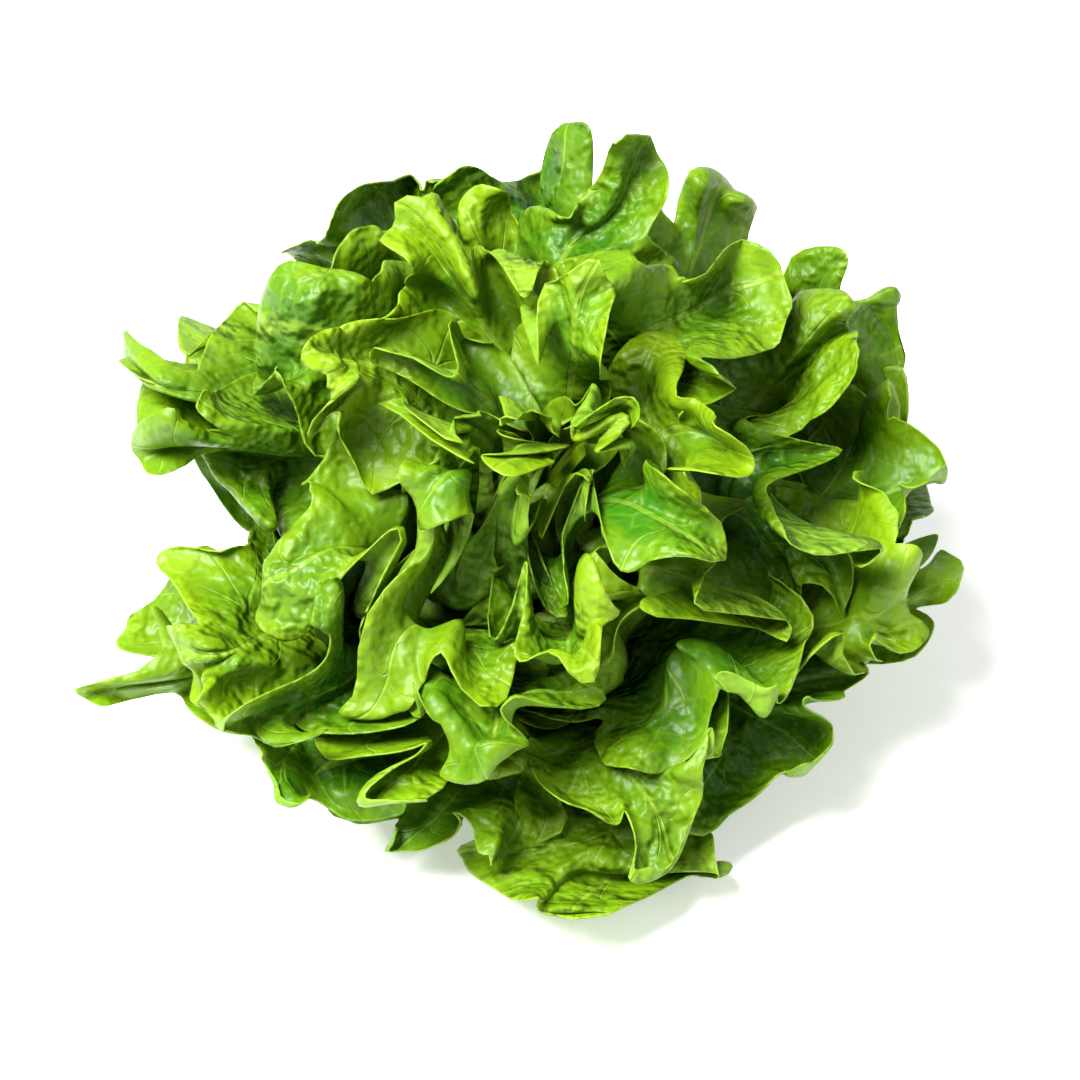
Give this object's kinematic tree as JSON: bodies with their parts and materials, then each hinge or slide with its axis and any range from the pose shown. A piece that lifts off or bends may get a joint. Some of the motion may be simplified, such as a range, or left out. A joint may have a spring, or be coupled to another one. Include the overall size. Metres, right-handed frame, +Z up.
{
  "type": "oak leaf lettuce",
  "caption": "Head of green oak leaf lettuce with lobed, frilled leaves round a dense heart, lying on its cut stem.",
  "frame": {"origin": "on the surface that the head rests on, under the front edge of its cut foot", "axes": "+Z up from that surface, -Y the way the head leans and its heart faces, +X to the right as seen from the front"},
  "size_m": [0.3021, 0.2775, 0.1753],
  "materials": {
    "outer_leaf": "waxy satin, fine veins, paler underside",
    "middle_leaf": "waxy satin, fine veins, paler underside",
    "heart_leaf": "waxy satin, fine veins",
    "stem": "matt, moist cut face"
  },
  "bodies": {
    "root": {"stem": "stem", "leaf_01": "outer_leaf", "leaf_02": "outer_leaf", "leaf_03": "outer_leaf", "leaf_04": "outer_leaf", "leaf_05": "outer_leaf", "leaf_06": "outer_leaf", "leaf_07": "outer_leaf", "leaf_08": "outer_leaf", "leaf_09": "outer_leaf", "leaf_10": "outer_leaf", "leaf_11": "outer_leaf", "leaf_12": "outer_leaf", "leaf_13": "outer_leaf", "leaf_14": "outer_leaf", "leaf_15": "outer_leaf", "leaf_16": "outer_leaf", "leaf_17": "middle_leaf", "leaf_18": "middle_leaf", "leaf_19": "middle_leaf", "leaf_20": "middle_leaf", "leaf_21": "middle_leaf", "leaf_22": "middle_leaf", "leaf_23": "middle_leaf", "leaf_24": "middle_leaf", "leaf_25": "middle_leaf", "leaf_26": "middle_leaf", "leaf_27": "middle_leaf", "leaf_28": "middle_leaf", "leaf_29": "middle_leaf", "leaf_30": "middle_leaf", "leaf_31": "middle_leaf", "leaf_32": "middle_leaf", "leaf_33": "middle_leaf", "leaf_34": "middle_leaf", "leaf_35": "heart_leaf", "leaf_36": "heart_leaf", "leaf_37": "heart_leaf", "leaf_38": "heart_leaf", "leaf_39": "heart_leaf", "leaf_40": "heart_leaf", "leaf_41": "heart_leaf", "leaf_42": "heart_leaf", "leaf_43": "heart_leaf", "leaf_44": "heart_leaf", "leaf_45": "heart_leaf", "leaf_46": "heart_leaf", "leaf_47": "heart_leaf", "leaf_48": "heart_leaf"}
  },
  "joints": []
}
